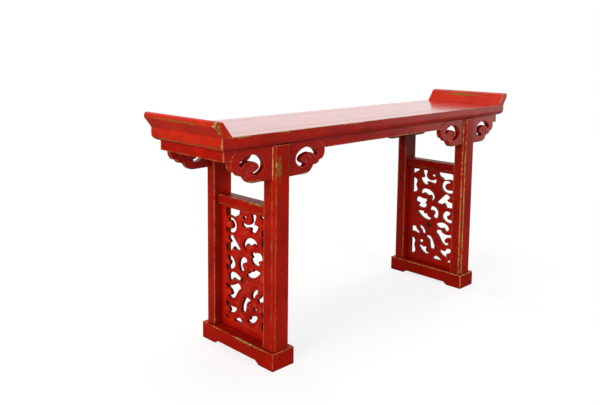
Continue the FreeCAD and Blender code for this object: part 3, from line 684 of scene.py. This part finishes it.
def filled(outlines, extra, joined_at=None):
    """Triangles that fill several outlines as one area, with extra points inside, and the area's edges."""
    edges = np.concatenate(outlines)
    if joined_at is not None:
        edges = edges[np.abs(edges[:, :, 1] - joined_at).max(axis=1) > 5 * same_place]
    ends = edges.reshape(-1, 2)
    points = [Vector(point) for point in ends] + [Vector(point) for point in extra]
    lines = [(i, i + 1) for i in range(0, len(ends), 2)]
    points, _, triangles, *_ = geometry.delaunay_2d_cdt(points, lines, [], 0, same_place, False)
    points, triangles = np.array([tuple(point) for point in points]), np.array(triangles)
    middles = points[triangles].mean(axis=1)
    triangles = triangles[np.any([is_inside(middles, outline) for outline in outlines], axis=0)]
    sides = np.concatenate([triangles[:, [0, 1]], triangles[:, [1, 2]], triangles[:, [2, 0]]])
    keys = np.sort(sides, axis=1)
    _, index, count = np.unique(keys, axis=0, return_index=True, return_counts=True)
    return points, triangles, sides[index[count == 1]]


def edge_finder(points, sides):
    """A search tree of points spaced closely along the area's edges."""
    samples = []
    for a, b in points[sides]:
        steps = max(1, int(np.linalg.norm(b - a) / edge_step))
        samples.extend(a + (b - a) * step / steps for step in range(steps + 1))
    finder = kdtree.KDTree(len(samples))
    for number, point in enumerate(samples):
        finder.insert((point[0], point[1], 0), number)
    finder.balance()
    return finder


_, plain_triangles, plain_sides = filled([panel_outline], [])
print("an uncarved panel takes", len(plain_triangles), "triangles inside", len(plain_sides), "edges")

# %% Raise the relief
row_spacing = 0.866
edge_clearance = 0.45


def relief(name, outlines, axis, front, back, spacing, height, wall_shade_depth=0.0, joined_at=None):
    """A carved board: a relief face, walls round every edge and a flat back, facing down its axis. The walls
    take a set depth, which draws painted shade on them.
    """
    points, triangles, sides = filled(outlines, [], joined_at)
    finder = edge_finder(points, sides)
    low, high = points.min(axis=0), points.max(axis=0)
    columns = np.arange(low[0] + spacing / 2, high[0], spacing)
    rows = np.arange(low[1] + spacing / 2, high[1], spacing * row_spacing)
    seeds = np.array([(x + spacing / 2 * (number % 2), y) for number, y in enumerate(rows) for x in columns])
    seeds = [seed for seed in seeds if finder.find((seed[0], seed[1], 0))[2] > edge_clearance * spacing]
    face_points, face_triangles, face_sides = filled(outlines, seeds, joined_at)
    gaps = [finder.find((point[0], point[1], 0))[2] for point in face_points]
    shape = bmesh.new()
    depth_layer = shape.loops.layers.float.new("carved_depth")
    used = set(face_triangles.ravel())
    depths = {i: height(face_points[i], gaps[i]) for i in used}
    fronts, backs = {}, {}
    for i in used:
        fronts[i] = shape.verts.new(np.insert(face_points[i], axis, front + depths[i]))
    for i in set(face_sides.ravel()):
        backs[i] = shape.verts.new(np.insert(face_points[i], axis, back))
    turn = -1 if axis == 0 else 1
    for corners in face_triangles:
        face = shape.faces.new([fronts[i] for i in corners][::turn])
        for loop, i in zip(face.loops, corners[::turn]):
            loop[depth_layer] = depths[i]
    # Each wall takes a set depth, not its carved one, so that the walls of the openings carry painted shade.
    for a, b in face_sides:
        face = shape.faces.new([fronts[b], fronts[a], backs[a], backs[b]][::turn])
        for loop, depth in zip(face.loops, [depths[b], depths[a], wall_shade_depth, wall_shade_depth][::turn]):
            loop[depth_layer] = min(max(depth, wall_shade_depth / 2), wall_shade_depth)
    behind = {tuple(np.round(face_points[i] / millimetre, 2)): vertex for i, vertex in backs.items()}
    for triangle in triangles:
        corners = []
        for point in points[triangle]:
            key = tuple(np.round(point / millimetre, 2))
            if key not in behind:
                behind[key] = shape.verts.new(np.insert(point, axis, back))
            corners.append(behind[key])
        if len(set(corners)) == 3:
            shape.faces.new(corners[::-turn])
    mesh = bpy.data.meshes.new(name)
    shape.to_mesh(mesh)
    open_edges = sum(len(edge.link_faces) != 2 for edge in shape.edges)
    shape.free()
    print(name, len(mesh.polygons), "faces,", open_edges, "open edges")
    return mesh


def rolled(gap, radius, drop):
    """How far an edge that is rounded over lies below the face, at a distance from the edge."""
    inward = min(gap / radius, 1.0)
    return drop * (1 - math.sqrt(1 - (1 - inward) ** 2))


# %% [markdown]
# ### The trestle panels
# Each panel is a flat border round a field of winding tendrils. The carver sank the field a little, rolled
# the edges of the scrolls over and left a round curl, a volute, at the end of each tendril. The second
# panel is the first one turned half round, so that the carving faces outwards on both trestles.

# %% Carve the panels
field_half_width = 0.1165
field_low, field_high = 0.092, 0.531
field_depth, field_slope = 1.6 * millimetre, 2.5 * millimetre
rim_radius, rim_drop = 4 * millimetre, 3.4 * millimetre
furrow_at, furrow_width, furrow_depth = 8.5 * millimetre, 2.4 * millimetre, 2.0 * millimetre
swell_height, swell_width = 1.0 * millimetre, 8 * millimetre
curl_height, curl_groove, curl_twist = 4.6 * millimetre, 3.8 * millimetre, 6
knife_height, knife_pace = 0.7 * millimetre, 45
least_depth = 0.05 * millimetre

# Each volute's middle across and up the panel, and its radius, all in millimetres.
volutes = [(94, 464, 15), (101, 398, 10), (100, 318, 13), (66, 254, 9), (93, 199, 13), (103, 139, 11),
           (-24, 403, 15), (-80, 357, 9), (-34, 366, 8), (4, 323, 13), (-33, 318, 8), (-11, 168, 9),
           (-30, 141, 9), (0, 473, 9), (-56, 498, 10), (-52, 188, 10), (20, 128, 13), (66, 372, 9),
           (-97, 300, 14), (-88, 462, 12), (-84, 176, 12), (26, 500, 14)]


def panel_height(point, gap):
    """How far the carved face lies behind the panel's border, in metres along +X."""
    y, z = point
    inner = min(field_half_width - abs(y), z - field_low, field_high - z)
    if inner <= 0:
        return 0.0
    sunk = field_depth * min(inner / field_slope, 1)
    rim = rolled(gap, rim_radius, rim_drop)
    furrow = furrow_depth * math.exp(-((gap - furrow_at) / furrow_width) ** 2)
    swell = swell_height * min(max((gap - furrow_at) / swell_width, 0), 1)
    raised = 0.0
    for cy, cz, size in volutes:
        away = math.hypot(y - cy * millimetre, z - cz * millimetre) / (size * millimetre)
        if away < 1:
            spin = math.atan2(z - cz * millimetre, y - cy * millimetre)
            groove = (0.5 + 0.5 * math.cos(spin - away * curl_twist)) ** 2
            raised = max(raised, (curl_height - curl_groove * groove) * math.sqrt(1 - away * away))
            furrow *= away ** 2
    sway = knife_height * noise.noise(Vector((y, z, 0)) * knife_pace)
    return max(sunk + rim + furrow + sway - raised - swell, least_depth)


left_panel = relief("carved_panel", [panel_outline], axis=0, front=panel_low[0], back=panel_high[0],
                    spacing=1.7 * millimetre, height=panel_height, wall_shade_depth=9 * millimetre)
right_panel = left_panel.copy()
right_panel.transform(Matrix.Rotation(math.pi, 4, "Z"))
for side, mesh in (("left", left_panel), ("right", right_panel)):
    set_piece("carved_panel_" + side, shaded(mesh, angle=math.radians(55)), lacquer_carved,
              ["panel_" + side])

# %% [markdown]
# ### The spandrels
# The cloud-shaped brackets beside each leg are all cut from one pattern: a stepped outline, and a
# comma-shaped opening that leaves a round curl hanging inside. Each pair is one board that passes through
# a slot in its leg and runs up over the apron as a low shoulder. One pair is carved as a relief like the
# panels, and Geometry Nodes set it at every leg, front and back.

# %% Carve one pair of brackets
bracket_low, bracket_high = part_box("spandrel_left_front_inner")
leg_middle = bracket_low[0]
shoulders = face_outline("apron_front", 1, bracket_low[1])
outlines = [face_outline("spandrel_left_front_outer", 1, bracket_low[1]),
            face_outline("spandrel_left_front_inner", 1, bracket_low[1]),
            shoulders[shoulders[:, :, 0].mean(axis=1) < 0]]
for outline in outlines:
    outline[:, :, 0] -= leg_middle
curl_middle_x, curl_middle_z, curl_radius = 0.137, 0.733, 25 * millimetre
apron_from, apron_blend = 0.758, 10 * millimetre
edge_radius, edge_drop, drop_lost_on_apron = 5 * millimetre, 3.4 * millimetre, 2.0 * millimetre
behind_leg, coil_depth, coil_twist = 36 * millimetre, 2.6 * millimetre, 8
face_depth, back_gap = 0.2 * millimetre, 0.3 * millimetre


def bracket_height(point, gap):
    """How far the carved face lies behind the bracket's highest level, in metres along +Y."""
    on_apron = min(max((point[1] - apron_from) / apron_blend, 0), 1)
    edge = face_depth + rolled(gap, edge_radius, edge_drop - drop_lost_on_apron * on_apron)
    if abs(point[0]) < behind_leg:
        return edge
    dx, dz = abs(point[0]) - curl_middle_x, point[1] - curl_middle_z
    away = math.hypot(dx, dz) / curl_radius
    coil = 0.5 + 0.5 * math.cos(math.atan2(dz, dx) + away * coil_twist)
    fading = min(max(0.0, 1 - away) * 4, 1)
    return edge + coil_depth * coil ** 3 * fading


pair = relief("bracket_pair", outlines, axis=1, front=bracket_low[1], back=bracket_high[1] - back_gap,
              spacing=2.2 * millimetre, height=bracket_height, joined_at=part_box("apron_front")[0][2])
pair.materials.append(lacquer_brackets)

# %% Set the brackets at every leg
bracket_tree, taken, given = new_tree("brackets_at_legs", {
    "Geometry": "Geometry", "Left Leg": "Vector", "Right Leg": "Vector", "Material": "Material"})
legs = add(bracket_tree, "GeometryNodeMeshLine", {
    "Count": 2, "Start Location": taken["Left Leg"], "Offset": taken["Right Leg"]}, mode="END_POINTS")
front_row = add(bracket_tree, "GeometryNodeInstanceOnPoints", {
    "Points": legs, "Instance": taken["Geometry"]})
rear_row = add(bracket_tree, "GeometryNodeTransform", {"Geometry": front_row, "Rotation": (0, 0, math.pi)})
both_rows = bracket_tree.nodes.new("GeometryNodeJoinGeometry")
for row in (front_row, rear_row):
    bracket_tree.links.new(row, both_rows.inputs[0])
solid = add(bracket_tree, "GeometryNodeRealizeInstances", {"Geometry": both_rows.outputs[0]})
solid = add(bracket_tree, "GeometryNodeSetMaterial", {
    "Geometry": solid, "Material": taken["Material"]})
bracket_tree.links.new(solid, given["Geometry"])
brackets = grown("brackets", bracket_tree, {
    "Left Leg": (leg_middle, 0, 0), "Right Leg": (-leg_middle, 0, 0), "Material": lacquer_brackets}, pair)
set_piece("carved_brackets", shaded(brackets, angle=math.radians(50)), lacquer_brackets,
          [f"spandrel_{side}_{row}_{place}" for side in ("left", "right") for row in ("front", "rear")
           for place in ("inner", "outer")])
print("brackets:", len(brackets.polygons), "faces on", len(brackets.vertices), "points")

# %% [markdown]
# ### The long aprons
# The apron is a plain board behind the brackets' shoulders. Its measured twin carries those shoulders, so
# here they are pressed back into its face, and its own share of each opening is made a shade wider than
# the bracket's, so that the two boards do not share a surface.

# %% Make the long aprons
shoulder_depth = 2 * millimetre
eased_by = 2.5 * millimetre
mitre_begins = 0.845


def plain_apron(node):
    """A copy of a long apron without the shoulders, its openings eased."""
    copy = clean_copy(node)
    low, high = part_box(node)
    outward = -1 if node.endswith("front") else 1
    proud = max(abs(low[1]), abs(high[1]))
    for vertex in copy.verts:
        if proud - abs(vertex.co.y) < 0.1 * millimetre:
            vertex.co.y = outward * (proud - shoulder_depth)
    bmesh.ops.remove_doubles(copy, verts=copy.verts, dist=weld_distance)
    bmesh.ops.dissolve_degenerate(copy, edges=copy.edges, dist=weld_distance)
    bmesh.ops.dissolve_limit(copy, angle_limit=flat_within, verts=copy.verts, edges=copy.edges)
    copy.normal_update()
    moves = []
    for vertex in copy.verts:
        cut_walls = [face.normal for face in vertex.link_faces if abs(face.normal.y) < 0.1]
        curved = [normal for normal in cut_walls if 0.01 < abs(normal.z) < 0.99995]
        if curved and abs(vertex.co.x) < mitre_begins:
            moves.append((vertex, -eased_by * sum(curved, Vector()).normalized()))
    for vertex, move in moves:
        vertex.co += move
    return copy


for node in ("apron_front", "apron_rear"):
    set_piece("soft_" + node, soften(plain_apron(node), 1.0 * millimetre, node), lacquer_x,
              [node])
print("the long aprons lie", round(shoulder_depth / millimetre), "mm behind the brackets' shoulders")

# %% [markdown]
# ## Floor, backdrop and light
# The photograph has a plain white ground and broad soft light. The floor and the world are white to the
# camera. In reflections they are white on the far side, which gives the top its pale shine, and dark on
# the camera's side, like the room behind a photographer, which keeps the front faces a deep red. The light
# that falls on the table comes from a dimmer world and from soft lamps on every side, so that its colours
# render as they are written. The lamps themselves show in no reflection.

# %% Lay the floor
floor_reach = 40.0
shadow_from, shadow_reach = 0.6, 2.6
lit_side = (0.8, 0.6, 0.0)

# Matt white paper without any shine. Away from the table it glows by itself, so that it ends in plain white
# without an edge, and close to the table it still takes a soft shadow.
floor_material, ground_tree, paper = new_material("white_paper_ground")
paper.inputs["Roughness"].default_value = 0.9
paper.inputs["Specular IOR Level"].default_value = 0.0
rays = ground_tree.nodes.new("ShaderNodeLightPath").outputs
glossy = rays["Is Glossy Ray"]
seen = add(ground_tree, "ShaderNodeMath", {0: rays["Is Camera Ray"], 1: rays["Is Transmission Ray"]},
           operation="MAXIMUM")
tone = add(ground_tree, "ShaderNodeMix", {"Factor": seen, 6: linear("#7A7A7A"), 7: linear("#F2F2F2")}, 2,
           data_type="RGBA")
ground_tree.links.new(tone, paper.inputs["Base Color"])
ground = add(ground_tree, "ShaderNodeTexCoord", output="Object")
reach = add(ground_tree, "ShaderNodeVectorMath", {0: ground}, "Value", operation="LENGTH")
bright = add(ground_tree, "ShaderNodeMapRange", {
    "Value": reach, "From Min": shadow_from, "From Max": shadow_reach, "To Min": 0.8, "To Max": 1.0},
    interpolation_type="SMOOTHSTEP")
glowing = add(ground_tree, "ShaderNodeMath", {0: seen, 1: bright}, operation="MULTIPLY")
glowing = add(ground_tree, "ShaderNodeMath", {0: glowing, 1: glossy}, operation="MAXIMUM")
lighter = add(ground_tree, "ShaderNodeVectorMath", {0: ground, 1: lit_side}, "Value", operation="DOT_PRODUCT")
dim = add(ground_tree, "ShaderNodeMapRange", {
    "Value": lighter, "From Min": 1.3, "From Max": 3.2, "To Min": -0.88, "To Max": 0.0},
    interpolation_type="SMOOTHSTEP")
strength = add(ground_tree, "ShaderNodeMath", {0: glossy, 1: dim, 2: 1.0}, operation="MULTIPLY_ADD")
glow = add(ground_tree, "ShaderNodeEmission", {"Color": (1, 1, 1, 1), "Strength": strength})
lit = add(ground_tree, "ShaderNodeMixShader", {0: glowing, 1: paper.outputs[0], 2: glow})
ground_tree.links.new(lit, ground_tree.nodes["Material Output"].inputs["Surface"])
floor_mesh = bpy.data.meshes.new("floor")
floor_corners = [(x * floor_reach, y * floor_reach, 0) for x, y in ((-1, -1), (1, -1), (1, 1), (-1, 1))]
floor_mesh.from_pydata(floor_corners, [], [(0, 1, 2, 3)])
floor_mesh.materials.append(floor_material)
floor = put("floor", floor_mesh)
print("the shadow fades out", shadow_reach, "m from the middle of the table")

# %% Surround the table with the world
world = bpy.data.worlds.new("studio")
world.use_nodes = True
bpy.context.scene.world = world
sky_tree = world.node_tree
sky_rays = sky_tree.nodes.new("ShaderNodeLightPath").outputs
shown = add(sky_tree, "ShaderNodeMath", {0: sky_rays["Is Camera Ray"], 1: sky_rays["Is Glossy Ray"]},
            operation="MAXIMUM")
shown = add(sky_tree, "ShaderNodeMath", {0: shown, 1: sky_rays["Is Transmission Ray"]}, operation="MAXIMUM")
sky = add(sky_tree, "ShaderNodeMix", {"Factor": shown, 6: linear("#6E6E6E"), 7: linear("#FFFFFF")}, 2,
          data_type="RGBA")
toward = add(sky_tree, "ShaderNodeTexCoord", output="Object")
toward = add(sky_tree, "ShaderNodeVectorMath", {0: toward, 1: lit_side}, "Value", operation="DOT_PRODUCT")
room = add(sky_tree, "ShaderNodeMapRange", {
    "Value": toward, "From Min": 0.45, "From Max": 0.08, "To Max": 0.9})
room = add(sky_tree, "ShaderNodeMath", {0: room, 1: sky_rays["Is Glossy Ray"]}, operation="MULTIPLY")
sky = add(sky_tree, "ShaderNodeMix", {"Factor": room, 6: sky, 7: linear("#2A2A2A")}, 2, data_type="RGBA")
sky_tree.links.new(sky, sky_tree.nodes["Background"].inputs["Color"])
print("the world has", len(sky_tree.nodes), "nodes")

# %% Hang the lamps
def soft_lamp(name, place, target, size, power, tint="#FFFFFF"):
    """A square soft lamp that points at a spot on the table."""
    data = bpy.data.lights.new(name, "AREA")
    data.shape = "SQUARE"
    data.size = size
    data.energy = power
    data.color = linear(tint)[:3]
    lamp = put(name, data)
    aim = (Vector(target) - Vector(place)).to_track_quat("-Z", "Y").to_matrix().to_4x4()
    lamp.matrix_world = Matrix.Translation(place) @ aim
    lamp.visible_glossy = False


soft_lamp("left_lamp", (-3.9, -1.0, 1.6), (-0.2, 0, 0.45), 1.6, 145, "#FFF4E8")
soft_lamp("front_lamp", (0.3, -4.6, 1.5), (0, 0, 0.5), 1.3, 112)
soft_lamp("right_lamp", (4.6, 0.4, 1.9), (0.3, 0, 0.5), 1.6, 110)
soft_lamp("rear_lamp", (0.2, 4.8, 1.8), (0, 0, 0.5), 1.6, 105)
soft_lamp("top_lamp", (-0.3, 0.3, 3.4), (0, 0, 0.8), 2.0, 60)
bpy.context.scene.view_settings.view_transform = "Standard"
print("lamps:", ", ".join(f"{lamp.name} {lamp.energy:.0f} W" for lamp in bpy.data.lights))
